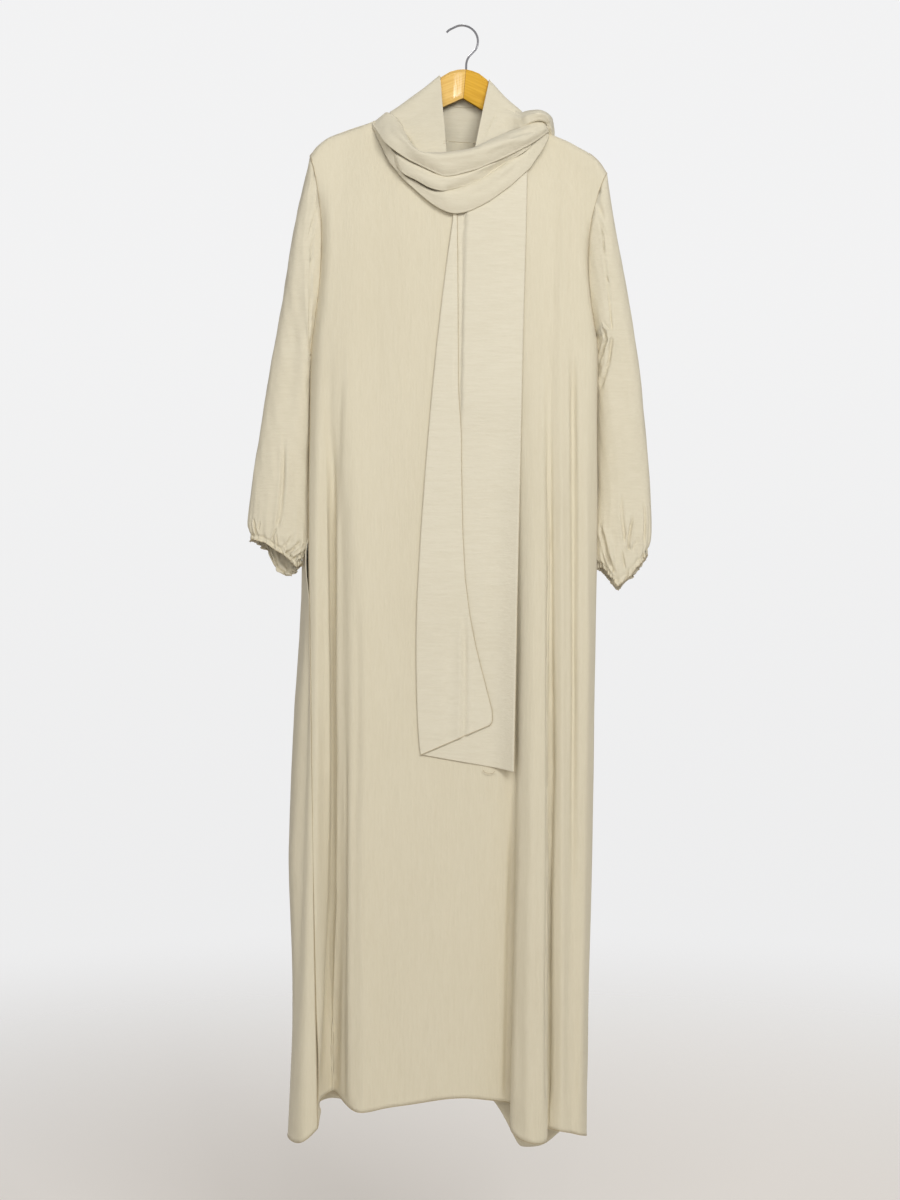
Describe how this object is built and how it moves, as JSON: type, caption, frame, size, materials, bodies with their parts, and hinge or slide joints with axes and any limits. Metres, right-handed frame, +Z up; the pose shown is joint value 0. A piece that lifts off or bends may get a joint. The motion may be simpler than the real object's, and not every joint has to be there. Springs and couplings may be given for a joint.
{
  "type": "abaya on a wooden hanger",
  "caption": "Long pull-on crepe abaya with gathered cuffs and a neck scarf wound in soft laps, hung on a wooden hanger.",
  "frame": {"origin": "inner top of the hanger's hook, where a rail or nail carries it", "axes": "+Z up, the garment's front faces -Y, +X is at the right of someone who looks at the front"},
  "size_m": [0.5827, 0.1044, 1.6332],
  "materials": {
    "abaya_crepe": "matte sand-coloured crinkle crepe, fine crinkle running down",
    "scarf_crepe": "the same crinkle crepe, laid in folds",
    "varnished_wood": "honey-coloured wood under clear gloss varnish",
    "plated_steel": "bright plated steel wire"
  },
  "bodies": {
    "root": {"front": "abaya_crepe", "back": "abaya_crepe", "sleeve_left": "abaya_crepe", "sleeve_right": "abaya_crepe", "scarf_hood": "scarf_crepe", "scarf_lap_top": "scarf_crepe", "scarf_lap_middle": "scarf_crepe", "scarf_lap_bottom": "scarf_crepe", "scarf_roll": "scarf_crepe", "scarf_lap_back": "scarf_crepe", "scarf_tail": "scarf_crepe", "hanger_arms": "varnished_wood", "hanger_hook": "plated_steel"}
  },
  "joints": []
}
